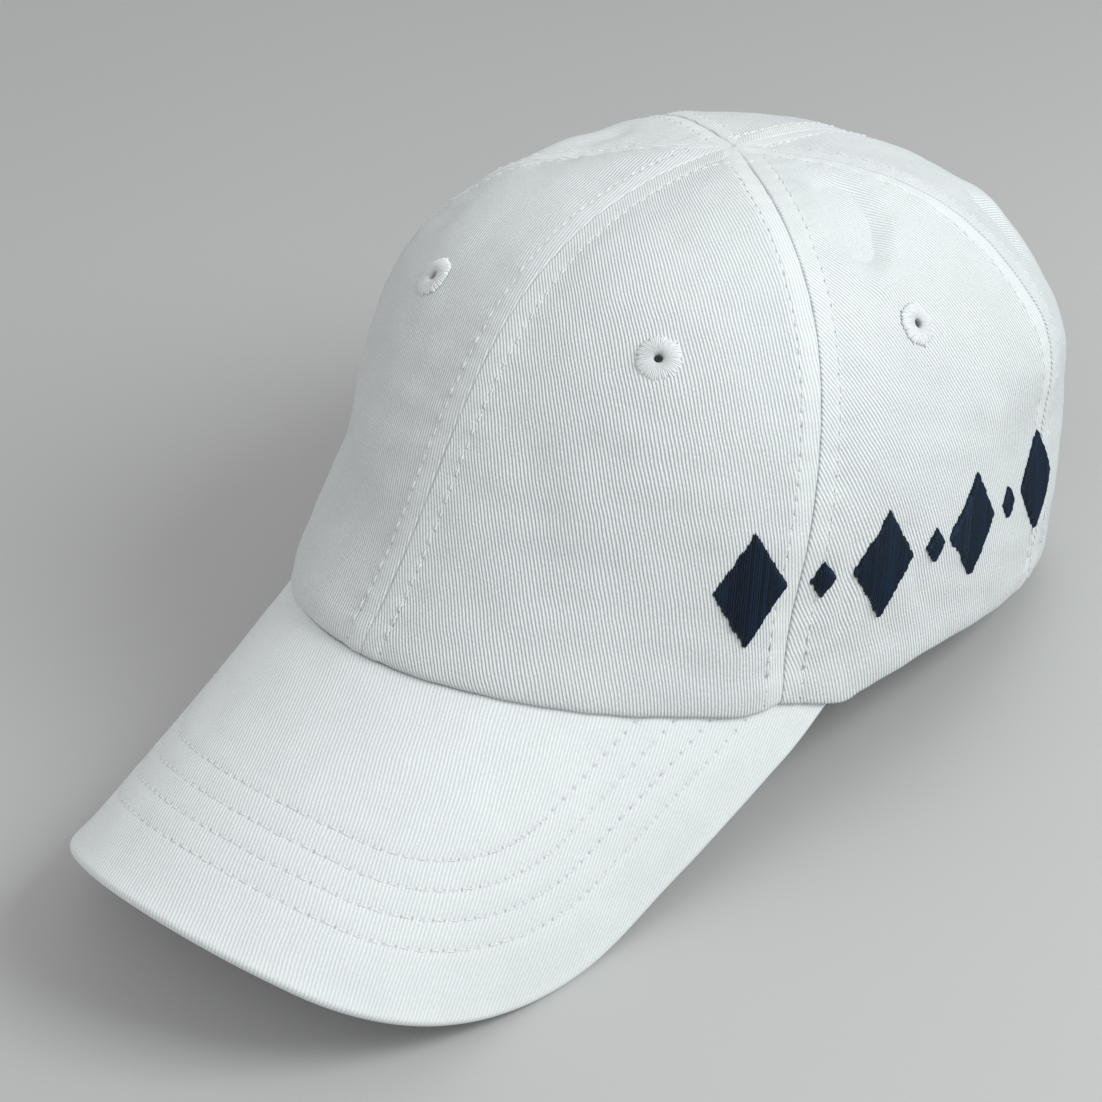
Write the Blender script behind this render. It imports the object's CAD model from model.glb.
"""A soft white six-panel cap with a curved peak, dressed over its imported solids.

Shapes are worked out in millimetres in the cap's own upright frame, leaned back onto the floor as
the solids are, and put into meshes in metres.
"""

import logging
import math
from dataclasses import dataclass, field
from enum import Enum

import bpy
import numpy as np
from mathutils import Matrix, Vector


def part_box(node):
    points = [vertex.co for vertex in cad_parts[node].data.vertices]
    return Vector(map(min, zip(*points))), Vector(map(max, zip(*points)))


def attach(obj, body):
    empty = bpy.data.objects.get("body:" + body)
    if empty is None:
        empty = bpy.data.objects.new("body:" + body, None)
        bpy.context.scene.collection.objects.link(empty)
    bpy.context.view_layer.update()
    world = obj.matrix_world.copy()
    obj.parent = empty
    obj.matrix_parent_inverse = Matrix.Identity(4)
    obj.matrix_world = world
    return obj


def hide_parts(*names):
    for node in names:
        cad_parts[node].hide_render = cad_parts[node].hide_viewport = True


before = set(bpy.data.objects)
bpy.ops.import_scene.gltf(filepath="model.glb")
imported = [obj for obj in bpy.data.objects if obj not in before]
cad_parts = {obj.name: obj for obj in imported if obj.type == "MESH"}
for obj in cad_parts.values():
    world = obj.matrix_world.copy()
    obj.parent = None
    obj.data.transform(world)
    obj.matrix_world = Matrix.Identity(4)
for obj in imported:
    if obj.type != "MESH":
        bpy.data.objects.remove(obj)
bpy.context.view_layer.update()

LOG = logging.getLogger("cap")
MM = 0.001
MAP_UNIT = 100.0  # Millimetres in one unit of a UV map.
Array = np.ndarray
Colour = tuple[float, float, float]


# Shape of the cap


@dataclass(frozen=True)
class Section:
    """How one meridian of the crown bulges: its fullness, its plan's squareness and its lean."""

    fullness: float
    squareness: float
    lean: float


@dataclass(frozen=True)
class Seam:
    """A seam of the crown: degrees from the front at the hem, and how far it bows backwards."""

    name: str
    at: float
    bow: float


@dataclass(frozen=True)
class Dent:
    """A dent, or a swell where the depth is negative: its place and spread in degrees and share
    of the way up, and its depth as a share of the crown's height."""

    at: float
    wide: float
    up: float
    tall: float
    depth: float


@dataclass(frozen=True)
class Fold:
    """A soft crease, or a ridge where the height is positive, along a line over the crown. Its
    ends are in degrees from the front, positive to the wearer's left, and share of the way up;
    its width and height are in millimetres."""

    start_at: float
    start_up: float
    end_at: float
    end_up: float
    width: float
    height: float


class Side(Enum):
    """The two sides of the cap, by the sign of their angle."""

    LEFT = 1
    RIGHT = -1


@dataclass(frozen=True)
class Rows:
    """Stitch rows side by side: the distance of the first from its seam or edge, the step to the
    next, how many there are, and the pitch of their stitches."""

    first: float
    pitch: float
    step: float = 1.0
    count: int = 1

    def places(self) -> list[float]:
        """The distance of each row."""
        return [self.first + self.step * row for row in range(self.count)]


SEAM_ROWS = Rows(first=5.0, pitch=3.2)
PEAK_ROWS = Rows(first=16.0, pitch=3.4, step=6.35, count=4)


def smooth(low: float, high: float, value: Array) -> Array:
    """Rise from 0 to 1 between low and high, along 3t^2 - 2t^3.

    Args:
        low: the value where the rise starts.
        high: the value where it ends.
        value: where it is read.

    Returns:
        The rise at each value.
    """
    t = np.clip((value - low) / (high - low), 0, 1)
    return t * t * (3 - 2 * t)


def bell(value: Array, width: float) -> Array:
    """A bell curve of height 1, exp(-(value / width)^2)."""
    return np.exp(-((value / width) ** 2))


def between(low: float, high: float, share: Array) -> Array:
    """The value at a share of the way from low to high."""
    return low + (high - low) * share


def unit(vectors: Array) -> Array:
    """Vectors divided by their length, along the last axis."""
    return vectors / np.maximum(np.linalg.norm(vectors, axis=-1, keepdims=True), 1e-9)


def opaque(colour: Colour) -> tuple[float, float, float, float]:
    """A colour with full cover."""
    return (*colour, 1.0)


def ripple(points: Array, wavelength: float, seed: int, waves: int = 14) -> Array:
    """A gentle random swell over space: the mean of sines that run in random directions.

    Args:
        points: places in millimetres, with x, y and z on the last axis.
        wavelength: the middle wavelength in millimetres.
        seed: picks the directions and phases, the same in each run.
        waves: how many sines there are.

    Returns:
        A height of about -1 to 1 at each place.
    """
    draw = np.random.RandomState(seed)
    directions = unit(draw.normal(size=(waves, 3)))
    lengths = wavelength * draw.uniform(0.6, 1.7, waves)
    phases = draw.uniform(0, 2 * math.pi, waves)
    turns = points @ (directions / lengths[:, None]).T * 2 * math.pi + phases
    return np.sin(turns).sum(axis=-1) / math.sqrt(waves)


@dataclass(frozen=True)
class CapForm:
    """The cap's sizes in millimetres and radians, and the surfaces that they make."""

    crown_front: float = 121.6
    crown_back: float = 92.8
    crown_side: float = 76.3
    crown_height: float = 105.8
    crown_top_shift: float = 0.8
    crown_wall: float = 1.6
    panel_flatness: float = 2.9
    flatness_scale: float = 2.6
    front_kick: float = 2.9
    kick_rise: float = 0.22
    kick_narrowing: float = 1.5
    back_hem_dip: float = 1.1
    peak_length: float = 72.1
    peak_thickness: float = 2.8
    peak_front_radius: float = 163.2
    peak_corner_radius: float = 68.6
    peak_corner_start: float = math.radians(14)
    peak_pitch: float = math.radians(32.2)
    peak_lift: float = 4.2
    peak_arch_at_edge: float = 60.2
    peak_arch_turn: float = math.radians(74)
    peak_seat_height: float = 11.0
    peak_seat_angle: float = math.radians(73.6)
    hem_fairing_angle: float = math.radians(35)
    hem_gap: float = 0.15
    hem_flattening: float = 0.8
    hem_follow: float = 5.0
    front: Section = Section(2.19, 2.01, -0.107)
    side: Section = Section(3.15, 2.01, 0.059)
    back: Section = Section(3.22, 2.74, 0.033)
    seams: tuple[Seam, ...] = (
        Seam("front", 0, 0),
        Seam("side_front", 62.9, 3.0),
        Seam("side_rear", 115.8, -1.8),
        Seam("back", 180, 0),
    )
    dents: tuple[Dent, ...] = (
        Dent(86, 15, 0.70, 0.13, 0.022),
        Dent(63, 4, 0.07, 0.07, 0.016),
        Dent(-72, 16, 0.84, 0.10, 0.030),
        Dent(128, 20, 0.55, 0.13, 0.003),
        Dent(122, 18, 0.30, 0.12, -0.011),
        Dent(112, 16, 0.16, 0.10, 0.038),
        Dent(-40, 18, 0.045, 0.045, -0.007),
        Dent(-38, 18, 0.13, 0.05, 0.040),
        Dent(-44, 18, 0.23, 0.08, 0.008),
        Dent(-58, 16, 0.42, 0.11, -0.010),
    )

    @property
    def along(self) -> Array:
        """The direction in which the peak runs out from the hem."""
        return np.array([0, -math.cos(self.peak_pitch), -math.sin(self.peak_pitch)])

    @property
    def upward(self) -> Array:
        """The direction square to the peak's middle line, pointing up."""
        return np.array([0, -math.sin(self.peak_pitch), math.cos(self.peak_pitch)])

    def hem_plan(self, angle: Array) -> tuple[Array, Array]:
        """The hem's plan, a superellipse: |x/side|^n + |y/reach|^n = 1, with n the squareness.

        Args:
            angle: radians from the front, towards the wearer's left.

        Returns:
            x and y at each angle.
        """
        sine, cosine = np.sin(angle), np.cos(angle)
        reach = np.where(cosine > 0, self.crown_front, self.crown_back)
        power = np.where(cosine > 0, self.front.squareness, self.back.squareness)
        size = (np.abs(cosine) ** power + np.abs(sine) ** power) ** (-1 / power)
        return self.crown_side * sine * size, -reach * cosine * size

    def arch_curvature(self, along: Array) -> Array:
        """The peak's curvature. It changes evenly along the peak, from the arch that has turned by
        its set angle at the seat's ends to the set radius at the edge.

        Args:
            along: distance along the flat sheet.

        Returns:
            One over the radius there.
        """
        x, y = self.hem_plan(np.array(self.peak_seat_angle))
        radius = x / math.sin(self.peak_arch_turn)
        drop = radius * (math.cos(self.peak_arch_turn) - 1) * math.sin(self.peak_pitch)
        start = (-self.crown_front - y - drop) / math.cos(self.peak_pitch)
        share = (along - start) / (self.peak_length - start)
        return 1 / radius + (1 / self.peak_arch_at_edge - 1 / radius) * share

    def peak_rise(self, along: Array) -> Array:
        """How far the peak curls up along its length: lift times (along / length)^2."""
        return self.peak_lift * np.maximum(along / self.peak_length, 0) ** 2

    def peak_point(self, across: Array, along: Array, raised: Array | float = 0.0) -> Array:
        """A point of the peak: the flat sheet bent over an arc of its curvature k, so that x is
        sin(k across)/k and the drop is (1 - cos(k across))/k.

        Args:
            across: distance across the flat sheet.
            along: distance along the flat sheet, from the front of the hem.
            raised: distance off the upper face.

        Returns:
            The points.
        """
        bend = self.arch_curvature(along)
        turn = across * bend
        high = (np.cos(turn) - 1) / bend + self.peak_rise(along)
        base = np.array([0, -self.crown_front, self.peak_seat_height])
        side = (np.sin(turn) / bend)[..., None] * np.array([1.0, 0, 0])
        points = base + side + along[..., None] * self.along + high[..., None] * self.upward
        lifted = np.broadcast_to(np.asarray(raised, float), across.shape)
        return points + lifted[..., None] * self.peak_normal(across, along)

    def peak_normal(self, across: Array, along: Array) -> Array:
        """The normal of the peak's upper face, turned over the arch.

        Args:
            across: place across the flat sheet.
            along: place along it.

        Returns:
            The unit normals.
        """
        turn = across * self.arch_curvature(along)
        side = np.sin(turn)[..., None] * np.array([1.0, 0, 0])
        return side + np.cos(turn)[..., None] * self.upward

    def peak_flat(self, x: Array, y: Array) -> tuple[Array, Array]:
        """The place on the flat sheet under a point of the plan, by going round the arch and the
        pitch in turn until they agree.

        Args:
            x: sideways place in the plan.
            y: place from front to back.

        Returns:
            The places across and along the sheet.
        """
        pitch = self.peak_pitch
        along = np.zeros_like(x)
        across = np.zeros_like(x)
        for _ in range(8):
            bend = self.arch_curvature(along)
            turn = np.arcsin(np.clip(x * bend, -0.999, 0.999))
            rise = (np.cos(turn) - 1) / bend + self.peak_rise(along)
            across = turn / bend
            along = (-self.crown_front - y - rise * math.sin(pitch)) / math.cos(pitch)
        return across, along

    def hem_height(self, x: Array, y: Array, angle: Array) -> Array:
        """The hem's height: on the peak over the seat, fairing to the rim's plane behind it, and
        dipping by dip t^2 round the back.

        Args:
            x: sideways place in the plan.
            y: place from front to back.
            angle: radians from the front.

        Returns:
            The height at each place.
        """
        turned = np.abs(angle)
        plan_x, plan_y = self.hem_plan(angle)
        end_x, end_y = self.hem_plan(np.full_like(angle, self.peak_seat_angle))
        inside = np.hypot(x, y) / np.hypot(plan_x, plan_y)
        seated = turned < self.peak_seat_angle
        across, along = self.peak_flat(
            np.where(seated, x, end_x * inside), np.where(seated, y, end_y * inside)
        )
        gap = self.hem_gap / np.maximum(self.peak_normal(across, along)[..., 2], 0.25)
        seat = self.peak_point(across, along)[..., 2] + gap
        fair = smooth(self.peak_seat_angle, self.peak_seat_angle + self.hem_fairing_angle, turned)
        behind = np.maximum(turned - math.pi / 2, 0) / (math.pi / 2)
        return seat * (1 - fair) - self.back_hem_dip * behind**2

    def blend(self, column: str, angle: Array) -> Array:
        """Blend a size of the sections round the crown: side + (facing - side) cos^2.

        Args:
            column: the size's name.
            angle: radians from the front.

        Returns:
            The size at each angle.
        """
        cosine = np.cos(angle)
        facing = np.where(cosine > 0, getattr(self.front, column), getattr(self.back, column))
        side = getattr(self.side, column)
        return side + (facing - side) * cosine**2

    def seam_angle(self, seam: int, up: Array, side: Side) -> Array:
        """A seam's angle in radians at a share of the way up, bowed by sin(pi up)."""
        line = self.seams[seam]
        return side.value * np.radians(line.at + line.bow * np.sin(math.pi * up))

    def panel_middle(self, angle: Array, up: Array) -> Array:
        """Rise from 0 on a seam to 1 in the middle of a panel, 1 - (2 share - 1)^2.

        Args:
            angle: radians from the front.
            up: share of the way up.

        Returns:
            The rise at each place.
        """
        turned = np.abs(angle)
        edges = [self.seam_angle(seam, up, Side.LEFT) for seam in range(len(self.seams))]
        share = np.zeros_like(turned)
        for low, high in zip(edges[:-1], edges[1:]):
            inside = (turned >= low) & (turned <= high + 1e-9)
            share = np.where(inside, (turned - low) / (high - low), share)
        return 1 - (2 * share - 1) ** 2

    def round_crown(self, angle: Array, up: Array, inset: Array | float = 0.0) -> Array:
        """The crown without its flats: the hem shrinks to the top as cos^(2/n) of the way up
        while the height grows as sin^(2/n), with n the section's fullness. The meridians lean by
        4 lean r (1 - r) at a rise r, and the front is kicked in above the peak.

        Args:
            angle: radians from the front.
            up: share of the way up.
            inset: how far the face is set in.

        Returns:
            The points.
        """
        plan_x, plan_y = self.hem_plan(angle)
        start = self.hem_height(plan_x, plan_y, angle)
        fullness = self.blend("fullness", angle)
        turn = up * math.pi / 2
        shrink = np.maximum(np.cos(turn), 0) ** (2 / fullness)
        rise = np.sin(turn) ** (2 / fullness)
        from_top = np.hypot(plan_x, plan_y - self.crown_top_shift)
        kicked = 1 - bell(rise, self.kick_rise)
        kick = self.front_kick * kicked * np.maximum(np.cos(angle), 0) ** self.kick_narrowing
        lean = 1 + self.blend("lean", angle) * 4 * rise * (1 - rise)
        size = shrink * (lean - kick / from_top) - inset / from_top
        x = plan_x * size
        y = self.crown_top_shift + (plan_y - self.crown_top_shift) * size
        return np.stack([x, y, start + (self.crown_height - start) * rise], axis=-1)

    def crown_normal(self, angle: Array, up: Array) -> Array:
        """The round crown's outward normal, the cross product of two short steps over it.

        Args:
            angle: radians from the front.
            up: share of the way up.

        Returns:
            The unit normals.
        """
        step = 0.004
        low = np.clip(up, 0.02, 0.97)
        across = self.round_crown(angle + step, low) - self.round_crown(angle - step, low)
        upward = self.round_crown(angle, low + step) - self.round_crown(angle, low - step)
        return unit(np.cross(across, upward))

    def dent_depth(self, angle: Array, up: Array) -> Array:
        """The depth of all dents, each a bell across and a bell upwards.

        Args:
            angle: radians from the front.
            up: share of the way up.

        Returns:
            The depth at each place.
        """
        degrees = np.degrees(angle)
        total = np.zeros_like(degrees)
        for dent in self.dents:
            spread = bell(degrees - dent.at, dent.wide) * bell(up - dent.up, dent.tall)
            total = total + dent.depth * self.crown_height * spread
        return total

    def crown_point(self, angle: Array, up: Array, raised: Array | float = 0.0) -> Array:
        """A point of the crown's cloth: the round crown, flattened between its seams, dented, and
        raised off its face. The flats are 2.6 rise (1 - rise^2) deep, which is 1 at the most. The
        hem's points stand on the hem's line, and those above it are moved with them by less and
        less.

        Args:
            angle: radians from the front.
            up: share of the way up.
            raised: distance off the face.

        Returns:
            The points.
        """
        angle, up = np.broadcast_arrays(np.asarray(angle, float), np.asarray(up, float))
        rise = np.sin(up * math.pi / 2)
        bow = self.flatness_scale * rise * (1 - rise**2)
        flatness = self.panel_flatness * self.panel_middle(angle, up) * bow
        lifted = np.broadcast_to(np.asarray(raised, float), angle.shape)
        move = (lifted - self.dent_depth(angle, up))[..., None] * self.crown_normal(angle, up)
        points = self.round_crown(angle, up, flatness) + move
        foot = self.round_crown(angle, np.zeros_like(up)) + move
        seated = self.hem_height(foot[..., 0], foot[..., 1], angle) - foot[..., 2]
        above = points[..., 2] - foot[..., 2]
        points[..., 2] += seated * np.exp(-above / self.hem_follow)
        return points

    def crown_scale(self, angle: float, up: float) -> tuple[float, float, float]:
        """The crown's scale at a place, with the upward step split into its parts along and
        square to the step round the crown.

        Args:
            angle: radians from the front.
            up: share of the way up.

        Returns:
            Millimetres per radian round the crown, and millimetres per share of the way up along
            that direction and square to it.
        """
        step = 0.01
        here, level = np.array([angle]), np.array([up])
        around = self.crown_point(here + step, level) - self.crown_point(here - step, level)
        upward = self.crown_point(here, level + step) - self.crown_point(here, level - step)
        around, upward = around[0] / (2 * step), upward[0] / (2 * step)
        across = float(np.linalg.norm(around))
        skew = float(around @ upward) / across
        return across, skew, math.sqrt(float(upward @ upward) - skew**2)

    def peak_corner(self) -> tuple[Array, Array, float]:
        """The centres of the front arc and the corner arc in the flat, and the corner's end."""
        centre = np.array([0.0, self.peak_length - self.peak_front_radius])
        out = np.array([math.sin(self.peak_corner_start), math.cos(self.peak_corner_start)])
        corner = centre + out * (self.peak_front_radius - self.peak_corner_radius)
        x, y = self.hem_plan(np.array([self.peak_seat_angle]))
        across, along = self.peak_flat(x, y)
        reach = np.array([across[0], along[0]]) - corner
        share = min(self.peak_corner_radius / float(np.hypot(*reach)), 1.0)
        return centre, corner, math.atan2(reach[0], reach[1]) - math.acos(share)

    def peak_side_length(self) -> float:
        """The length of the straight side, from the corner arc to the end of the seat."""
        _, corner, _ = self.peak_corner()
        x, y = self.hem_plan(np.array([self.peak_seat_angle]))
        across, along = self.peak_flat(x, y)
        reach = float(np.hypot(across[0] - corner[0], along[0] - corner[1]))
        return math.sqrt(max(reach**2 - self.peak_corner_radius**2, 0))

    def peak_outline(self, share: Array, inset: Array | float = 0.0) -> tuple[Array, Array]:
        """The peak's outline in the flat, set in by a distance: front arc, corner arc and side.

        Args:
            share: 0 at the middle of the front edge, 1 at the end of the straight side.
            inset: the distance inside the outline.

        Returns:
            The places across and along.
        """
        centre, corner, corner_end = self.peak_corner()
        front_length = self.peak_front_radius * self.peak_corner_start
        corner_length = self.peak_corner_radius * (corner_end - self.peak_corner_start)
        total = front_length + corner_length + self.peak_side_length()
        travelled = share * total
        front_turn = travelled / self.peak_front_radius
        front_radius = self.peak_front_radius - inset
        turn = self.peak_corner_start + (travelled - front_length) / self.peak_corner_radius
        turn = np.minimum(turn, corner_end)
        on_side = np.maximum(travelled - front_length - corner_length, 0)
        radius = self.peak_corner_radius - inset
        in_front = travelled < front_length
        across = np.where(
            in_front,
            front_radius * np.sin(front_turn),
            corner[0] + radius * np.sin(turn) + on_side * np.cos(turn),
        )
        along = np.where(
            in_front,
            centre[1] + front_radius * np.cos(front_turn),
            corner[1] + radius * np.cos(turn) - on_side * np.sin(turn),
        )
        return across, along

    def peak_rim(self, share: Array, inset: Array | float = 0.0) -> Array:
        """Places on the whole outline, set in by a distance.

        Args:
            share: -1 at the end of the wearer's right, 0 in the middle and 1 at the other end.
            inset: the distance inside the outline.

        Returns:
            The places across and along, on the last axis.
        """
        across, along = self.peak_outline(np.abs(share), inset)
        return np.stack([across * np.sign(share), along], -1)

    def peak_inset(self, across: Array, along: Array) -> tuple[Array, Array]:
        """Where places of the flat sheet lie against the outline.

        Args:
            across: place across the flat sheet.
            along: place along it.

        Returns:
            How far inside the outline they are, and how far along it, measured at the edge.
        """
        centre, corner, corner_end = self.peak_corner()
        side = np.abs(across)
        front_turn = np.arctan2(side - centre[0], along - centre[1])
        corner_turn = np.arctan2(side - corner[0], along - corner[1])
        in_front = front_turn < self.peak_corner_start
        on_side = (corner_turn > corner_end) & ~in_front
        from_front = self.peak_front_radius - np.hypot(side - centre[0], along - centre[1])
        from_corner = self.peak_corner_radius - np.hypot(side - corner[0], along - corner[1])
        out = np.array([math.sin(corner_end), math.cos(corner_end)])
        from_side = self.peak_corner_radius - (
            (side - corner[0]) * out[0] + (along - corner[1]) * out[1]
        )
        run = (side - corner[0]) * out[1] - (along - corner[1]) * out[0]
        inset = np.where(in_front, from_front, np.where(on_side, from_side, from_corner))
        front_length = self.peak_front_radius * self.peak_corner_start
        corner_run = np.clip(corner_turn, self.peak_corner_start, corner_end)
        travelled = np.where(
            in_front,
            front_turn * self.peak_front_radius,
            front_length + (corner_run - self.peak_corner_start) * self.peak_corner_radius,
        )
        return inset, travelled + np.where(on_side, run, 0)


@dataclass
class Ground:
    """The pose in which the cap lies: its lean, its lift and its shift, found from the form.

    The peak's solid, by which it is found, has 45 sections of 9 points over each face, with three
    more round the edge.
    """

    form: CapForm
    sections: int = 45
    steps_out: int = 9
    edge_turns: tuple[float, ...] = (math.pi / 4, math.pi / 2, 3 * math.pi / 4)
    lean: float = 0.0
    lift: float = 0.0
    shift: Array = field(default_factory=lambda: np.zeros(3))

    def settle(self) -> None:
        """Find the lean at which the peak's lowest edge and the hem at the back touch the floor,
        by halving, and the shift that centres the solids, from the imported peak's box."""
        low = self.solid_peak()
        back = self.form.crown_point(np.array([math.pi]), np.array([0.0]))[0]
        least, most = 0.0, math.pi / 6
        for _ in range(30):
            self.lean = (least + most) / 2
            lowest = self.turn(low)[:, 2].min()
            if lowest < self.turn(back)[2] + self.form.hem_flattening:
                least = self.lean
            else:
                most = self.lean
        self.lean = least
        self.lift = -float(self.turn(low)[:, 2].min())
        laid = self.lay(low)
        corner = np.array(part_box("peak")[0]) / MM
        self.shift = corner - laid.min(axis=0)
        self.shift[2] = 0.0

    def solid_peak(self) -> Array:
        """The points of the peak's solid: those over both faces, and those round its edge."""
        form = self.form
        share = np.linspace(1, -1, self.sections)
        half = form.peak_thickness / 2
        angle = share * form.peak_seat_angle
        hem = form.crown_point(angle, np.zeros_like(angle), -form.crown_wall)
        start = np.stack(form.peak_flat(hem[:, 0], hem[:, 1]), -1)
        edge, rim = form.peak_rim(share, half), form.peak_rim(share)
        rows = []
        for out in np.linspace(0, 1, self.steps_out):
            across, along = (start + (edge - start) * out).T
            rows.append(form.peak_point(across, along))
            rows.append(form.peak_point(across, along, -form.peak_thickness))
        for turn in self.edge_turns:
            across, along = (edge + (rim - edge) * math.sin(turn)).T
            rows.append(form.peak_point(across, along, -half * (1 - math.cos(turn))))
        return np.concatenate(rows)

    def turn(self, points: Array) -> Array:
        """Turn by the lean about the sideways axis.

        Args:
            points: points or directions.

        Returns:
            The turned ones.
        """
        cosine, sine = math.cos(self.lean), math.sin(self.lean)
        y = points[..., 1] * cosine + points[..., 2] * sine
        z = points[..., 2] * cosine - points[..., 1] * sine
        return np.stack([points[..., 0], y, z], axis=-1)

    def lay(self, points: Array) -> Array:
        """Lean points back onto the floor, shift them, and flatten the cloth that meets it.

        Args:
            points: points of the upright cap.

        Returns:
            The points as they lie.
        """
        laid = self.turn(points) + np.array([0, 0, self.lift]) + self.shift
        laid[..., 2] = np.maximum(laid[..., 2], 0.0)
        return laid


# Meshes


def put_mesh(
    name: str,
    points: Array,
    faces: Array,
    place: Array | None = None,
    marks: dict[str, Array] | None = None,
    rows: Array | None = None,
) -> bpy.types.Object:
    """Make an object from points in millimetres and four-cornered faces.

    Args:
        name: the piece's name.
        points: one row a vertex.
        faces: one row of four vertex numbers a face, anticlockwise from outside.
        place: cloth coordinates of each vertex in millimetres, kept as the UV map "weave" in
            units of MAP_UNIT millimetres.
        marks: values of each vertex by attribute name.
        rows: how far along a stitch row and off its seam or edge each vertex is, in millimetres,
            kept as the UV map "rows" in the same way.

    Returns:
        The linked object, at the origin.
    """
    used, renumbered = np.unique(faces, return_inverse=True)
    faces = renumbered.reshape(faces.shape)
    mesh = bpy.data.meshes.new(name)
    mesh.vertices.add(len(used))
    mesh.vertices.foreach_set("co", (points[used] * MM).astype(np.float32).ravel())
    mesh.loops.add(faces.size)
    mesh.loops.foreach_set("vertex_index", faces.astype(np.int32).ravel())
    mesh.polygons.add(len(faces))
    mesh.polygons.foreach_set("loop_start", np.arange(0, faces.size, 4, dtype=np.int32))
    mesh.polygons.foreach_set("use_smooth", np.ones(len(faces), bool))
    for map_name, values in (("weave", place), ("rows", rows)):
        if values is not None:
            layer = mesh.uv_layers.new(name=map_name)
            corners = (values[used] / MAP_UNIT)[faces.ravel()]
            layer.data.foreach_set("uv", corners.astype(np.float32).ravel())
    for mark, values in (marks or {}).items():
        attribute = mesh.attributes.new(mark, "FLOAT", "POINT")
        attribute.data.foreach_set("value", values[used].astype(np.float32).ravel())
    mesh.update(calc_edges=True)
    thing = bpy.data.objects.new(name, mesh)
    bpy.context.scene.collection.objects.link(thing)
    return thing


def shell_faces(kept: Array) -> Array:
    """Faces of a wall between two grids of the same size, of which the second follows the first.

    Args:
        kept: which cells of the grid have cloth, as columns by rows.

    Returns:
        The outer cells, the inner cells turned round, and a wall along every open edge.
    """
    columns, rows = kept.shape[0] + 1, kept.shape[1] + 1
    below = columns * rows
    number = np.arange(below).reshape(columns, rows)
    corners = [number[:-1, :-1], number[1:, :-1], number[1:, 1:], number[:-1, 1:]]
    outer = np.stack([corner[kept] for corner in corners], -1)
    padded = np.pad(kept, 1)
    beside = [padded[1:-1, :-2], padded[2:, 1:-1], padded[1:-1, 2:], padded[:-2, 1:-1]]
    walls = []
    for edge, neighbour in enumerate(beside):
        open_edge = kept & ~neighbour
        first = corners[edge][open_edge]
        second = corners[(edge + 1) % 4][open_edge]
        walls.append(np.stack([second, first, first + below, second + below], -1))
    return np.concatenate([outer, outer[:, ::-1] + below, *walls])


def loop_faces(loops: int, size: int, ring: bool = False) -> Array:
    """Faces of a body through sections that are closed loops.

    Args:
        loops: how many sections there are.
        size: how many points each has, an even number where the ends are capped.
        ring: whether the last section joins the first, so that there are no ends.

    Returns:
        The faces, with open ends capped by strips across the thin loop.
    """
    spans = loops if ring else loops - 1
    loop, point = np.meshgrid(np.arange(spans), np.arange(size), indexing="ij")
    after, beside = (loop + 1) % loops, (point + 1) % size
    corners = ((loop, point), (after, point), (after, beside), (loop, beside))
    sides = np.stack([at * size + place for at, place in corners], -1).reshape(-1, 4)
    if ring:
        return sides
    step = np.arange(size // 2 - 1)
    strip = np.stack([step, step + 1, size - 2 - step, size - 1 - step], -1)
    return np.concatenate([sides, strip, strip[:, ::-1] + (loops - 1) * size])


def spread(length: float, spacing: tuple[tuple[float, float], ...]) -> Array:
    """Shares of a length whose spacing depends on how near the ends they are: the density of
    the steps, 1/spacing, is summed along the length and cut into equal parts.

    Args:
        length: the length in millimetres.
        spacing: pairs of a distance from the nearer end and the spacing wanted there.

    Returns:
        Shares from 0 to 1.
    """
    walk = np.linspace(0, length, 4000)
    near = np.minimum(walk, length - walk)
    distances, steps = zip(*spacing)
    density = 1 / np.interp(near, distances, steps)
    total = np.concatenate([[0], np.cumsum((density[1:] + density[:-1]) / 2 * np.diff(walk))])
    count = max(int(round(total[-1])), 4)
    return np.interp(np.linspace(0, total[-1], count + 1), total, walk) / length


def run_length(points: Array, axis: int = 0) -> Array:
    """The distance walked along an axis of a grid of points, from 0 at its start.

    Args:
        points: the grid, with x, y and z on its last axis.
        axis: the axis walked along.

    Returns:
        The distance at each point.
    """
    steps = np.linalg.norm(np.diff(points, axis=axis), axis=-1)
    walked = np.cumsum(steps, axis=axis)
    padding = [(0, 0)] * walked.ndim
    padding[axis] = (1, 0)
    return np.pad(walked, padding)


# Shader node groups and finishes


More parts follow.
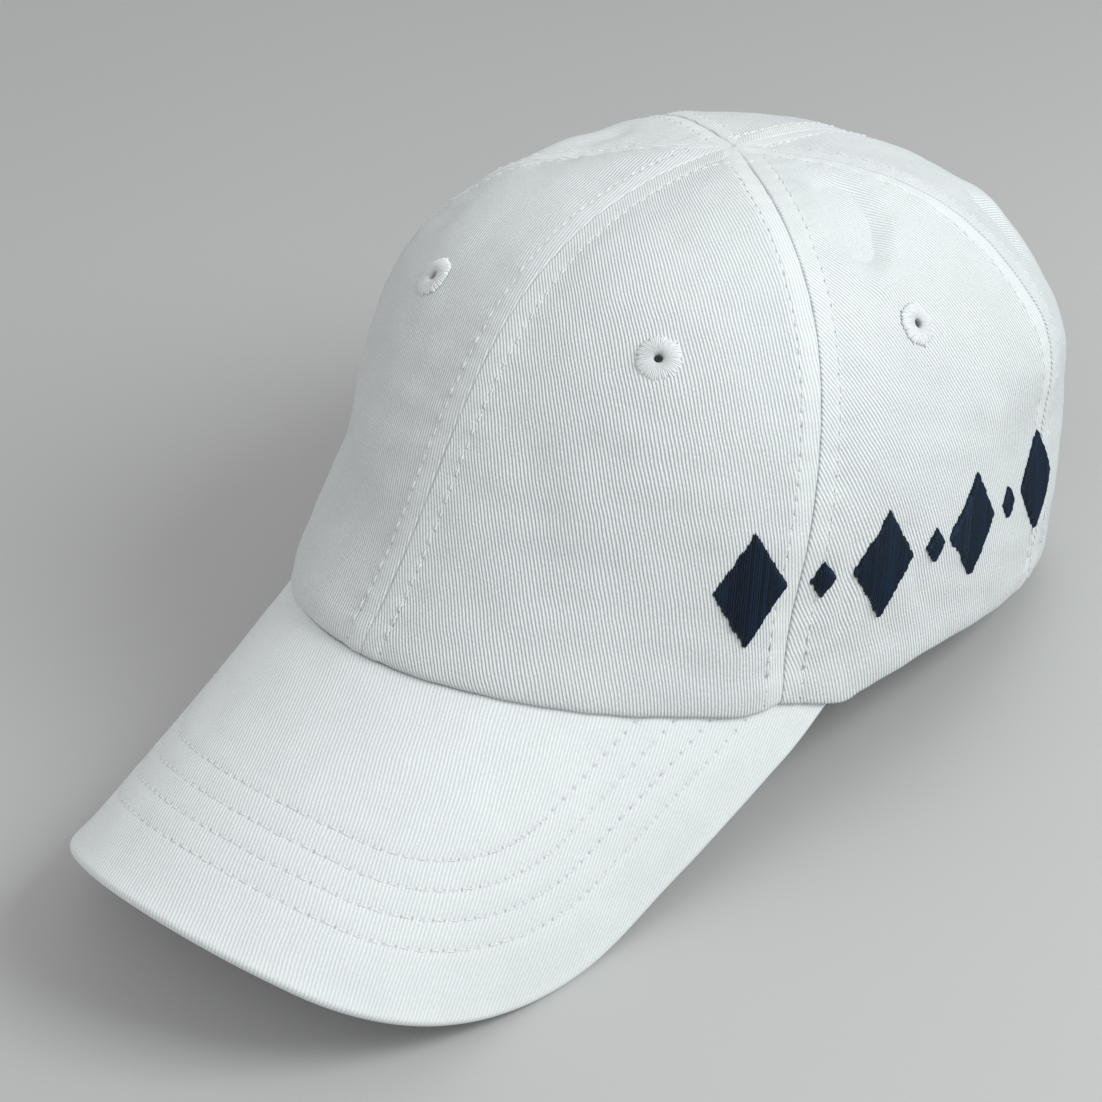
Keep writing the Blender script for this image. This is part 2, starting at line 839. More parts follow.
class Nodes:
    """A short way to add nodes to a tree and to link them."""

    def __init__(self, tree: bpy.types.NodeTree) -> None:
        """Keep the tree."""
        self.tree = tree

    def add(self, kind: str, inputs: dict | None = None, **settings: object) -> bpy.types.Node:
        """Add a node, set its properties, and set or link its inputs.

        Args:
            kind: the node's type name.
            inputs: values, or sockets to link from, by the input's name or number.
            settings: properties of the node.

        Returns:
            The node.
        """
        node = self.tree.nodes.new(kind)
        for name, value in settings.items():
            setattr(node, name, value)
        self.feed(node, inputs or {})
        return node

    def feed(self, node: bpy.types.Node, inputs: dict) -> None:
        """Set or link a node's inputs.

        Args:
            node: the node.
            inputs: values, or sockets to link from, by the input's name or number.
        """
        for name, value in inputs.items():
            if isinstance(value, bpy.types.NodeSocket):
                self.tree.links.new(value, node.inputs[name])
            else:
                node.inputs[name].default_value = value

    def math(self, operation: str, *values: object) -> bpy.types.NodeSocket:
        """A Math node's result of an operation on values or sockets."""
        inputs = dict(enumerate(values))
        return self.add("ShaderNodeMath", inputs, operation=operation).outputs[0]

    def scaled(self, vector: object, factor: object) -> bpy.types.NodeSocket:
        """A vector times a number."""
        inputs = {0: vector, "Scale": factor}
        return self.add("ShaderNodeVectorMath", inputs, operation="SCALE").outputs[0]

    def clamped(self, value: object) -> bpy.types.NodeSocket:
        """A value kept between 0 and 1."""
        return self.add("ShaderNodeClamp", {0: value}).outputs[0]

    def mix(self, factor: object, first: object, second: object) -> bpy.types.NodeSocket:
        """A mix of two colours by a factor."""
        node = self.add("ShaderNodeMix", {0: factor, 6: first, 7: second}, data_type="RGBA")
        return node.outputs[2]

    def noise(self, vector: object, scale: float, detail: float = 2.0) -> bpy.types.NodeSocket:
        """A noise texture's value over a vector."""
        inputs = {"Vector": vector, "Scale": scale, "Detail": detail}
        return self.add("ShaderNodeTexNoise", inputs).outputs[0]

    def bump(self, height: object, relief: float) -> bpy.types.NodeSocket:
        """A normal from a height of 0 to 1 that stands for a relief in metres."""
        inputs = {"Height": height, "Distance": relief, "Strength": 1.0}
        return self.add("ShaderNodeBump", inputs).outputs[0]

    def attribute(self, name: str) -> bpy.types.NodeSocket:
        """A piece's own value of a mark."""
        return self.add("ShaderNodeAttribute", attribute_name=name).outputs["Fac"]


def new_group(
    name: str, inputs: dict[str, tuple[str, object]], outputs: tuple[str, ...]
) -> tuple[bpy.types.NodeTree, Nodes, bpy.types.Node, bpy.types.Node]:
    """Start a shader node group with named sockets.

    Args:
        name: the group's name.
        inputs: a socket type and a default by input name.
        outputs: the names of its outputs, each a value.

    Returns:
        The tree, its node helper, its input node and its output node.
    """
    tree = bpy.data.node_groups.new(name, "ShaderNodeTree")
    for label, (kind, value) in inputs.items():
        socket = tree.interface.new_socket(label, in_out="INPUT", socket_type=kind)
        if value is not None:
            socket.default_value = value
    for label in outputs:
        tree.interface.new_socket(label, in_out="OUTPUT", socket_type="NodeSocketFloat")
    nodes = Nodes(tree)
    return tree, nodes, nodes.add("NodeGroupInput"), nodes.add("NodeGroupOutput")


@dataclass(frozen=True)
class TwillWeave:
    """The weave: slanting wales of a set pitch, broad on top with narrow valleys, that drift over
    the cloth. They are cut into short floats that step from one wale to the next, and their yarn
    is uneven. Where the cloth is pressed they lie flatter.

    The wale's height is (0.5 + 0.5 cos(2 pi wales across))^breadth, so a lower breadth widens its
    top. Drift and jitter are in pitches; the rest is in shares of the height.
    """

    drift: float = 2.2
    jitter: float = 0.13
    breadth: float = 0.6
    float_step: float = 0.37
    float_dip: float = 0.13
    unevenness: float = 0.9
    fuzz: float = 0.3
    speckle: float = 0.8
    flattening: float = 0.6

    def group(self) -> bpy.types.NodeTree:
        """Build the group. Height is 1 on a wale and 0 between two, and Shade is 1 between two."""
        tree, nodes, given, result = new_group(
            "twill_weave",
            {
                "Cloth": ("NodeSocketVector", None),
                "Pitch": ("NodeSocketFloat", 1.0),
                "Slant": ("NodeSocketFloat", 0.45),
                "Float": ("NodeSocketFloat", 1.3),
                "Pressed": ("NodeSocketFloat", 0.0),
            },
            ("Height", "Shade"),
        )
        flat = nodes.scaled(given.outputs["Cloth"], MAP_UNIT)
        turned = nodes.add(
            "ShaderNodeVectorRotate",
            {"Vector": flat, "Angle": given.outputs["Slant"]},
            rotation_type="Z_AXIS",
        ).outputs[0]
        split = nodes.add("ShaderNodeSeparateXYZ", {0: turned})
        across = nodes.math("DIVIDE", split.outputs[0], given.outputs["Pitch"])
        drifted = nodes.math("MULTIPLY_ADD", nodes.noise(flat, 0.05, 2.0), self.drift, across)
        jitter = nodes.math("MULTIPLY", nodes.noise(flat, 0.8, 1.0), self.jitter)
        wales = nodes.math("ADD", drifted, jitter)
        wave = nodes.math("COSINE", nodes.math("MULTIPLY", wales, 2 * math.pi))
        ridge = nodes.math("POWER", nodes.math("MULTIPLY_ADD", wave, 0.5, 0.5), self.breadth)
        number = nodes.math("FLOOR", nodes.math("ADD", wales, 0.5))
        along = nodes.math("DIVIDE", split.outputs[1], given.outputs["Float"])
        stepped = nodes.math("MULTIPLY_ADD", number, self.float_step, along)
        beat = nodes.math("ABSOLUTE", nodes.math("SINE", nodes.math("MULTIPLY", stepped, math.pi)))
        rounded = nodes.math("POWER", beat, 0.5)
        bead = nodes.math("MULTIPLY_ADD", rounded, self.float_dip, 1 - self.float_dip)
        yarn = nodes.math("MULTIPLY_ADD", nodes.noise(flat, 0.9, 3.0), self.unevenness, 0.5)
        body = nodes.math("MULTIPLY", nodes.math("MULTIPLY", ridge, bead), yarn)
        flattened = nodes.math("MULTIPLY", given.outputs["Pressed"], self.flattening)
        full = nodes.math("SUBTRACT", 1.0, flattened)
        fuzz = nodes.math("MULTIPLY", nodes.noise(flat, 4.0, 2.0), self.fuzz)
        grain = nodes.math("SUBTRACT", nodes.noise(flat, 1.5, 3.0), 0.5)
        valley = nodes.math("SUBTRACT", 1.0, body)
        speck = nodes.math("MULTIPLY_ADD", grain, self.speckle, valley)
        nodes.feed(
            result,
            {
                "Height": nodes.math("MULTIPLY_ADD", body, full, fuzz),
                "Shade": nodes.clamped(nodes.math("MULTIPLY", speck, full)),
            },
        )
        return tree


def needle_group() -> bpy.types.NodeTree:
    """Build the needle holes of a stitch row. Hole is a row of small round pits a pitch apart,
    each a bell exp(-(r/size)^2) of the distance r from its middle, and Line is a wider bell along
    the whole row, exp(-0.6 (off/size)^2)."""
    tree, nodes, given, result = new_group(
        "needle_holes",
        {
            "Along": ("NodeSocketFloat", 0.0),
            "Off": ("NodeSocketFloat", 0.0),
            "Pitch": ("NodeSocketFloat", 3.4),
            "Size": ("NodeSocketFloat", 0.4),
        },
        ("Hole", "Line"),
    )
    share = nodes.math("DIVIDE", given.outputs["Along"], given.outputs["Pitch"])
    near = nodes.math("SUBTRACT", share, nodes.math("ROUND", share))
    away = nodes.math("MULTIPLY", near, given.outputs["Pitch"])
    off = nodes.math("MULTIPLY", given.outputs["Off"], given.outputs["Off"])
    square = nodes.math("MULTIPLY_ADD", away, away, off)
    size = nodes.math("MULTIPLY", given.outputs["Size"], given.outputs["Size"])
    pit = nodes.math("MULTIPLY", nodes.math("DIVIDE", square, size), -1.0)
    strip = nodes.math("MULTIPLY", nodes.math("DIVIDE", off, size), -0.6)
    nodes.feed(
        result, {"Hole": nodes.math("EXPONENT", pit), "Line": nodes.math("EXPONENT", strip)}
    )
    return tree


def mottle_group() -> bpy.types.NodeTree:
    """Build the cloth's slow unevenness: 0.6 of a broad noise over space and 0.4 of a finer one,
    as a value round 0.5."""
    tree, nodes, given, result = new_group(
        "cloth_mottle", {"Scale": ("NodeSocketFloat", 1.0)}, ("Value",)
    )
    place = nodes.add("ShaderNodeTexCoord").outputs["Object"]
    scaled = nodes.scaled(place, given.outputs["Scale"])
    broad = nodes.math("MULTIPLY", nodes.noise(scaled, 28.0, 2.0), 0.6)
    fine = nodes.noise(scaled, 160.0, 3.0)
    nodes.feed(result, {"Value": nodes.math("MULTIPLY_ADD", fine, 0.4, broad)})
    return tree


@dataclass(frozen=True)
class Finish:
    """A surface's colours and sheen, common to the finishes below."""

    name: str
    light: Colour
    shade: Colour
    roughness: float = 0.85
    sheen: float = 0.15
    sheen_roughness: float = 0.5
    specular: float = 0.3

    def start(self) -> tuple[bpy.types.Material, Nodes, bpy.types.Node]:
        """Make a material with its plain shader and constant sockets.

        Returns:
            The material, its node helper and its shader.
        """
        material = bpy.data.materials.new(self.name)
        material.use_nodes = True
        nodes = Nodes(material.node_tree)
        shader = material.node_tree.nodes["Principled BSDF"]
        constants = {
            "Sheen Weight": self.sheen,
            "Sheen Roughness": self.sheen_roughness,
            "Specular IOR Level": self.specular,
        }
        nodes.feed(shader, constants)
        return material, nodes, shader


@dataclass(frozen=True)
class TwillFinish(Finish):
    """White cotton twill with needle holes along its stitch rows, read from the piece's own cloth
    coordinates and row coordinates. Relief is in metres and the other lengths in millimetres."""

    rows: Rows = SEAM_ROWS
    pitch: float = 1.0
    slant: float = 0.45
    relief: float = 0.00023
    contrast: float = 0.68
    ageing: float = 0.35
    least_ageing: float = 0.05
    crease_shade: float = 0.45
    deepest: Colour = (0.26, 0.27, 0.29)
    hole_size: float = 0.25
    hole_shade: float = 0.3
    hole_depth: float = 1.2
    line_depth: float = 0.3
    valley_roughness: float = 0.1

    def needle_holes(
        self, nodes: Nodes, needles: bpy.types.NodeTree
    ) -> tuple[bpy.types.NodeSocket, bpy.types.NodeSocket]:
        """Place the needle holes on the nearest of the stitch rows.

        Args:
            nodes: the material's node helper.
            needles: the needle hole group.

        Returns:
            The holes and the line of the row.
        """
        rows = nodes.scaled(nodes.add("ShaderNodeUVMap", uv_map="rows").outputs[0], MAP_UNIT)
        split = nodes.add("ShaderNodeSeparateXYZ", {0: rows})
        away = nodes.math("SUBTRACT", split.outputs[1], self.rows.first)
        nearest = nodes.math("ROUND", nodes.math("DIVIDE", away, self.rows.step))
        nearest = nodes.math("MAXIMUM", nearest, 0.0)
        nearest = nodes.math("MINIMUM", nearest, float(self.rows.count - 1))
        off = nodes.math("SUBTRACT", away, nodes.math("MULTIPLY", nearest, self.rows.step))
        inputs = {
            "Along": split.outputs[0],
            "Off": off,
            "Pitch": self.rows.pitch,
            "Size": self.hole_size,
        }
        holes = nodes.add("ShaderNodeGroup", inputs, node_tree=needles)
        return holes.outputs["Hole"], holes.outputs["Line"]

    def material(
        self,
        weave: bpy.types.NodeTree,
        mottle: bpy.types.NodeTree,
        needles: bpy.types.NodeTree,
    ) -> bpy.types.Material:
        """Build the material.

        Args:
            weave: the twill group.
            mottle: the unevenness group.
            needles: the needle hole group.

        Returns:
            The material.
        """
        material, nodes, shader = self.start()
        inputs = {
            "Cloth": nodes.add("ShaderNodeUVMap", uv_map="weave").outputs[0],
            "Pitch": self.pitch,
            "Slant": self.slant,
            "Pressed": nodes.attribute("pressed"),
        }
        twill = nodes.add("ShaderNodeGroup", inputs, node_tree=weave)
        hole, line = self.needle_holes(nodes, needles)
        slow = nodes.add("ShaderNodeGroup", node_tree=mottle).outputs["Value"]
        valley = nodes.math("MULTIPLY", twill.outputs["Shade"], self.contrast)
        woven = nodes.mix(valley, opaque(self.light), opaque(self.shade))
        grey = nodes.math("MULTIPLY", nodes.math("SUBTRACT", slow, 0.5), self.ageing)
        grey = nodes.clamped(nodes.math("ADD", grey, self.least_ageing))
        aged = nodes.mix(grey, woven, opaque(self.shade))
        creased = nodes.math("MULTIPLY", nodes.attribute("crease"), self.crease_shade)
        punched = nodes.math("MULTIPLY", hole, self.hole_shade)
        dark = nodes.math("MAXIMUM", creased, punched)
        least = self.roughness - self.valley_roughness / 2
        sunk = nodes.math("MULTIPLY", line, -self.line_depth)
        sunk = nodes.math("MULTIPLY_ADD", hole, -self.hole_depth, sunk)
        height = nodes.math("ADD", twill.outputs["Height"], sunk)
        rough = nodes.math("MULTIPLY_ADD", twill.outputs["Shade"], self.valley_roughness, least)
        surface = {
            "Base Color": nodes.mix(dark, aged, opaque(self.deepest)),
            "Roughness": rough,
            "Normal": nodes.bump(height, self.relief),
        }
        nodes.feed(shader, surface)
        return material


@dataclass(frozen=True)
class ThreadFinish(Finish):
    """Sewing or embroidery thread, twisted along its own length: sin(2 pi twist turned), with the
    turn slanting over the thread. Twist is in strands a millimetre and relief in metres."""

    specular: float = 0.5
    twist: float = 5.0
    twist_slant: float = 0.6
    relief: float = 0.00004
    hair: float = 0.4
    strand_shade: float = 0.45
    unevenness: float = 0.5
    crease_shade: float = 0.8
    hair_roughness: float = 0.15

    def material(self, mottle: bpy.types.NodeTree) -> bpy.types.Material:
        """Build the material, with a fine twist from the thread's own coordinates.

        Args:
            mottle: the unevenness group.

        Returns:
            The material.
        """
        material, nodes, shader = self.start()
        flat = nodes.scaled(nodes.add("ShaderNodeUVMap", uv_map="weave").outputs[0], MAP_UNIT)
        split = nodes.add("ShaderNodeSeparateXYZ", {0: flat})
        turned = nodes.math("MULTIPLY_ADD", split.outputs[1], self.twist_slant, split.outputs[0])
        strand = nodes.math("SINE", nodes.math("MULTIPLY", turned, self.twist * 2 * math.pi))
        height = nodes.math("MULTIPLY_ADD", strand, 0.5, 0.5)
        hair = nodes.noise(flat, 5.0, 2.0)
        slow = nodes.add("ShaderNodeGroup", node_tree=mottle).outputs["Value"]
        uneven = nodes.math("MULTIPLY", nodes.math("SUBTRACT", slow, 0.5), self.unevenness)
        between = nodes.math("SUBTRACT", 1.0, height)
        dark = nodes.math("MULTIPLY_ADD", between, self.strand_shade, uneven)
        dark = nodes.math("MULTIPLY_ADD", nodes.attribute("crease"), self.crease_shade, dark)
        least = self.roughness - 0.07
        hairy = nodes.math("MULTIPLY_ADD", hair, self.hair, height)
        surface = {
            "Base Color": nodes.mix(nodes.clamped(dark), opaque(self.light), opaque(self.shade)),
            "Roughness": nodes.math("MULTIPLY_ADD", hair, self.hair_roughness, least),
            "Normal": nodes.bump(hairy, self.relief),
        }
        nodes.feed(shader, surface)
        return material


# Threads


@dataclass(frozen=True)
class StitchRow:
    """A row of short stitches laid on cloth, each a thin round thread through a few stations."""

    length: float = 2.4
    gap: float = 0.8
    radius: float = 0.21
    stand: float = 0.17
    unevenness: float = 0.12
    sway: float = 0.06
    stations: int = 6
    sides: int = 6

    def build(self, path: Array, normals: Array, seed: int) -> tuple[Array, Array, Array]:
        """Lay stitches along a path. A stitch's ends dip into the cloth: its height above it is
        1.6 stand sin(pi t)^0.6, less 0.9 of its radius.

        Args:
            path: points on the cloth.
            normals: the cloth's normal at each.
            seed: picks the slight unevenness, the same in each run.

        Returns:
            Points, faces and thread coordinates.
        """
        walked = run_length(path)
        pitch = self.length + self.gap
        count = int(walked[-1] // pitch)
        draw = np.random.RandomState(seed)
        shift = draw.uniform(-self.unevenness, self.unevenness, count)
        sway = draw.normal(0, self.sway, count)
        share = np.linspace(0, 1, self.stations)
        start = np.arange(count) * pitch + shift + self.gap / 2
        at = start[:, None] + share[None, :] * self.length
        middle, normal = (
            np.stack([np.interp(at, walked, column) for column in values.T], -1)
            for values in (path, normals)
        )
        normal = unit(normal)
        beside = unit(np.cross(unit(np.gradient(middle, axis=1)), normal))
        arch = np.sin(math.pi * share)
        high = self.stand * arch**0.6 * 1.6 - self.radius * 0.9
        middle = middle + normal * high[None, :, None] + beside * sway[:, None, None]
        thick = self.radius * (0.35 + 0.65 * arch**0.5)
        turn = np.linspace(0, 2 * math.pi, self.sides, endpoint=False)[:, None]
        ring = np.cos(turn) * beside[..., None, :] + np.sin(turn) * normal[..., None, :]
        points = middle[..., None, :] + ring * thick[None, :, None, None]
        first = np.arange(count)[:, None, None] * self.stations * self.sides
        faces = loop_faces(self.stations, self.sides)[None] + first
        thread = np.broadcast_arrays(turn[:, 0] * self.radius, at[:, :, None])
        return points.reshape(-1, 3), faces.reshape(-1, 4), np.stack(thread, -1).reshape(-1, 2)


def joined(parts: list[tuple[Array, Array, Array]]) -> tuple[Array, Array, Array]:
    """Join meshes into one.

    Args:
        parts: the points, faces and coordinates of each.

    Returns:
        Those of the whole.
    """
    points, faces, places = zip(*parts)
    first = np.cumsum([0] + [len(part) for part in points[:-1]])
    faces = [part + start for part, start in zip(faces, first)]
    return np.concatenate(points), np.concatenate(faces), np.concatenate(places)


# Sub-assemblies


@dataclass
class Wardrobe:
    """Every finish of the cap, built once."""

    materials: dict[str, bpy.types.Material] = field(default_factory=dict)

    def build(self) -> None:
        """Make the node groups and the materials."""
        white, grey = (0.855, 0.880, 0.885), (0.41, 0.43, 0.445)
        cloths = (
            TwillFinish("front_cloth", white, grey, slant=math.radians(-21), pitch=0.76),
            TwillFinish("side_cloth", white, grey, slant=math.radians(-24), pitch=0.86),
            TwillFinish("back_cloth", white, grey, slant=math.radians(-25), pitch=0.8),
            TwillFinish(
                "peak_cloth",
                white,
                grey,
                rows=PEAK_ROWS,
                slant=math.radians(22),
                pitch=0.82,
                relief=0.0001,
                contrast=0.42,
                hole_size=0.36,
                hole_shade=0.5,
            ),
        )
        threads = (
            ThreadFinish("seam_thread", (0.94, 0.95, 0.955), (0.70, 0.71, 0.73), 0.6, 0.1),
            ThreadFinish("eyelet_thread", (0.95, 0.965, 0.97), (0.50, 0.52, 0.54), 0.6, 0.1),
            ThreadFinish(
                "navy_thread",
                (0.010, 0.034, 0.078),
                (0.001, 0.004, 0.010),
                0.42,
                0.0,
                specular=0.24,
                relief=0.00007,
            ),
        )
        weave, mottle, needles = TwillWeave().group(), mottle_group(), needle_group()
        for cloth in cloths:
            self.materials[cloth.name] = cloth.material(weave, mottle, needles)
        for thread in threads:
            self.materials[thread.name] = thread.material(mottle)

    def dress(self, piece: bpy.types.Object, finish: str, slot: str, *nodes: str) -> None:
        """Give a piece its finish and tie it to the frame.

        Args:
            piece: the piece.
            finish: the finish's name.
            slot: the record's material slot.
            nodes: the solids that it stands for.
        """
        piece.data.materials.append(self.materials[finish])
        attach(piece, "root")
        if nodes:
            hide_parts(*nodes)
        LOG.info("%s: %d faces", piece.name, len(piece.data.polygons))


@dataclass(frozen=True)
class SeamRow:
    """A row of topstitching: its seam, its side of the cap, and whether it lies on the panel
    behind the seam or on the one before it."""

    seam: int
    side: Side
    behind: bool


@dataclass
class Crown:
    """The six cloth panels, their seams and their topstitching.

    A panel's grid is finest at its seams and its hem, by the tables of a distance from the edge and
    the spacing wanted there.
    """

    form: CapForm
    ground: Ground
    wardrobe: Wardrobe
    panel_top: float = 0.9985
    gather_from: float = 0.955
    gather_share: float = 0.985
    row_spacing: tuple[tuple[float, float], ...] = ((0, 0.3), (2, 0.5), (6, 0.9), (200, 0.9))
    column_spacing: tuple[tuple[float, float], ...] = (
        (0, 0.25),
        (1.5, 0.35),
        (4, 0.5),
        (7, 0.6),
        (14, 1.4),
    )
    row_foot: float = 0.012
    groove_depth: float = 0.26
    groove_width: float = 0.28
    groove_wander: float = 0.35
    groove_at_top: float = 0.35
    groove_at_hem: float = 0.35
    crease_shade: float = 0.36
    crease_width: float = 0.22
    crease_at_top: float = 0.3
    hem_crease: float = 0.5
    welt_height: float = 0.16
    valley_depth: float = 0.5
    valley_in_front: float = 0.45
    pull_depth: float = 0.10
    pull_width: float = 0.8
    pucker_height: float = 0.14
    pucker_run: float = 7.3
    pucker_fade: float = 3.0
    least_pressed: float = 0.1
    seam_pressed: float = 0.35
    top_pressed: float = 0.4
    hem_swell: float = 0.9
    hem_roll: float = 3.6
    hem_tuck: float = 1.7
    broad_ripple: float = 0.34
    fine_ripple: float = 0.13
    tape_half_width: float = 6.0
    tape_thickness: float = 0.35
    eyelet_cut: float = 2.4
    grain_straight: float = 58.0
    grain_sway: float = 0.0015
    panels: tuple[tuple[str, int, int], ...] = (
        ("front", 0, 1),
        ("side", 1, 2),
        ("back", 2, 3),
    )
    folds: tuple[Fold, ...] = (
        Fold(89, 0.83, 82, 0.68, 6.6, -2.7),
        Fold(80, 0.86, 75.5, 0.63, 3.2, 0.8),
        Fold(94, 0.70, 80, 0.56, 3.6, 1.2),
        Fold(131.5, 0.62, 126, 0.49, 3.6, -2.7),
        Fold(142, 0.60, 137, 0.585, 5.0, 0.8),
        Fold(120, 0.46, 115, 0.38, 6.0, 0.7),
        Fold(-47.5, 0.17, -43, 0.08, 6.0, -1.5),
        Fold(-87, 0.81, -81, 0.775, 4.5, -1.5),
        Fold(71, 0.14, 70, 0.05, 1.7, -0.5),
        Fold(74.5, 0.14, 76, 0.06, 2.2, 0.5),
        Fold(79, 0.13, 82, 0.05, 2.4, -0.5),
        Fold(50, 0.16, 40, 0.06, 5.0, -0.5),
        Fold(20, 0.30, 28, 0.12, 6.0, -0.6),
        Fold(-100, 0.66, -90, 0.50, 5.0, -1.1),
        Fold(-150, 0.70, -136, 0.52, 4.5, -1.2),
        Fold(165, 0.32, 150, 0.20, 4.0, 0.7),
    )

    def seam_line(self, seam: int, side: Side, up: Array) -> Array:
        """Points of a seam, without its relief."""
        return self.form.crown_point(self.form.seam_angle(seam, up, side), up)

    def seam_places(
        self, base: Array, up: Array, side: Side, seam: int
    ) -> tuple[Array, Array]:
        """How far points are from a seam at their own level, and how far up the seam that is.

        Args:
            base: points of the plain crown.
            up: their share of the way up.
            side: the side of the cap.
            seam: the seam's number.

        Returns:
            The distance off the seam and the distance up along it.
        """
        fine = np.linspace(0, 1, 400)
        walked = run_length(self.seam_line(seam, side, fine))
        away = np.linalg.norm(base - self.seam_line(seam, side, up), axis=-1)
        return away, np.interp(up, fine, walked)

    def fold_distance(self, base: Array, fold: Fold) -> Array:
        """Measure the distance from a fold's line.

        Args:
            base: points of the plain crown.
            fold: the fold.

        Returns:
            The distance of each point.
        """
        share = np.linspace(0, 1, 15)
        angle = np.radians(fold.start_at + (fold.end_at - fold.start_at) * share)
        line = self.form.crown_point(angle, fold.start_up + (fold.end_up - fold.start_up) * share)
        away = np.full(base.shape[:-1], 1e9)
        for before, after in zip(line[:-1], line[1:]):
            along = after - before
            at = np.clip((base - before) @ along / (along @ along), 0, 1)
            away = np.minimum(away, np.linalg.norm(base - before - at[..., None] * along, axis=-1))
        return away

    def seam_relief(
        self, away: Array, along: Array, room: Array, meridian: Array, fall: float
    ) -> tuple[Array, Array, Array]:
        """The cloth beside one seam. At a distance d it drops into a groove, -depth
        exp(-(d/width)^2), whose depth wanders along the seam, and falls into a valley round it.
        It stands as a flat welt out to the topstitching, where the thread pulls it down at each
        stitch and puckers it as sin(2 pi along/run) exp(-off/fade).

        Args:
            away: the distance off the seam.
            along: the distance up along it.
            room: 1 where the panel is wide, 0 where it runs out at the top.
            meridian: the distance above the hem.
            fall: the share of the full fall on this side of the seam.

        Returns:
            The height, and the crease and pressed marks.
        """
        row = SEAM_ROWS.first
        off_row = away - row
        stitch = 0.5 + 0.5 * np.cos(2 * math.pi * along / SEAM_ROWS.pitch)
        wander = 1 + self.groove_wander * np.sin(along / 2.3 + 2 * np.sin(along / 5.1))
        groove = -self.groove_depth * wander * bell(away, self.groove_width)
        groove *= between(self.groove_at_top, 1, room)
        valley = -fall * self.valley_depth * (1 - smooth(0.0, row + 0.8, away)) * room
        sunk = (groove + valley) * between(self.groove_at_hem, 1, smooth(1.0, 7.0, meridian))
        welt = self.welt_height * (1 - smooth(row - 0.4, row + 1.6, away))
        pull = -self.pull_depth * (1 + stitch) * bell(off_row, self.pull_width)
        waves = np.sin(along * 2 * math.pi / self.pucker_run + 3 * np.sin(along / 11))
        pucker = self.pucker_height * waves * np.exp(-np.abs(off_row) / self.pucker_fade)
        crease = self.crease_shade * wander * bell(away, self.crease_width)
        crease *= between(self.crease_at_top, 1, room)
        pressed = self.least_pressed + self.seam_pressed * fall
        pressed = pressed * (1 - smooth(row - 0.5, row + 1.5, away))
        return sunk + (welt + pull + pucker) * room, crease, pressed

    def relief(
        self, angle: Array, up: Array, side: Side, first: int, last: int
    ) -> tuple[Array, dict[str, Array], Array]:
        """The height of the cloth's outer face over the plain crown, with its marks. Above the hem
        it swells and then rolls under, as (1 - run/roll)^2.

        Args:
            angle: radians from the front.
            up: share of the way up.
            side: the side of the cap.
            first: the panel's front seam.
            last: the panel's rear seam.

        Returns:
            The height in millimetres, the crease and pressed marks from 0 to 1, and the row
            coordinates along and away from the nearest seam.
        """
        base = self.form.crown_point(angle, up)
        level = up[:1]
        ends = self.seam_line(first, side, level) - self.seam_line(last, side, level)
        room = smooth(3.0, 16.0, np.linalg.norm(ends, axis=-1))
        meridian = run_length(base, axis=1)
        roll = np.clip(1 - meridian / self.hem_roll, 0, 1)
        height = self.hem_swell * bell(meridian - 5.0, 5.0) - self.hem_tuck * roll**2
        crease = self.hem_crease * bell(meridian, 0.8)
        pressed = self.top_pressed * smooth(0.3, 0.8, up)
        nearest = np.full_like(angle, 1e9)
        nearest_along = np.zeros_like(angle)
        for seam in (first, last):
            away, along = self.seam_places(base, up, side, seam)
            fall = 1.0 if seam == last else self.valley_in_front
            beside = self.seam_relief(away, along, room, meridian, fall)
            height = height + beside[0]
            crease = crease + beside[1]
            pressed = pressed + beside[2]
            nearest_along = np.where(away < nearest, along, nearest_along)
            nearest = np.minimum(nearest, away)
        clear = smooth(3.0, 9.0, meridian)
        for fold in self.folds:
            height += clear * fold.height * bell(self.fold_distance(base, fold), fold.width)
        swell = self.broad_ripple * ripple(base, 34.0, 5) + self.fine_ripple * ripple(base, 13.0, 9)
        height += smooth(1.0, 9.0, nearest) * swell
        marks = {"crease": np.clip(crease, 0, 1), "pressed": np.clip(pressed, 0, 1)}
        return height, marks, np.stack([nearest_along, nearest], -1)

    def grid(self, first: int, last: int, side: Side) -> tuple[Array, Array]:
        """Lay out a panel's grid between its seams, with columns towards the wearer's left.

        Args:
            first: the panel's front seam.
            last: the panel's rear seam.
            side: the side of the cap.

        Returns:
            The angle and the share of the way up of each vertex, as columns by rows.
        """
        form = self.form
        fine = np.linspace(0, self.panel_top, 1200)
        low = form.seam_angle(first, fine, side)
        high = form.seam_angle(last, fine, side)
        middle_run = run_length(form.crown_point((low + high) / 2, fine))
        rows = spread(float(middle_run[-1]), self.row_spacing)
        up = np.interp(rows * middle_run[-1], middle_run, fine)
        hem = form.crown_point(np.linspace(low[0], high[0], 200), np.zeros(200))
        columns = spread(float(run_length(hem)[-1]), self.column_spacing)
        edges = (first, last) if side is Side.LEFT else (last, first)
        start, end = (form.seam_angle(edge, up, side) for edge in edges)
        angle = start[None, :] + (end - start)[None, :] * columns[:, None]
        return angle, np.broadcast_to(up, angle.shape)

    def cloth_place(self, plain: Array, swayed: bool) -> Array:
        """The place of each vertex on the flat cloth: the distance across from the middle column
        and the distance up along it. Where it is swayed, the grain runs over to one side as
        sway (up - straight)^2.

        Args:
            plain: the panel's points without relief, as columns by rows.
            swayed: whether the grain runs over.

        Returns:
            The two coordinates of each vertex.
        """
        middle = plain.shape[0] // 2
        across = run_length(plain, axis=0)
        across = across - across[middle][None, :]
        upward = np.broadcast_to(run_length(plain, axis=1)[middle][None, :], across.shape)
        if swayed:
            across = across + self.grain_sway * np.maximum(upward - self.grain_straight, 0) ** 2
        return np.stack([across, upward], -1).reshape(-1, 2)

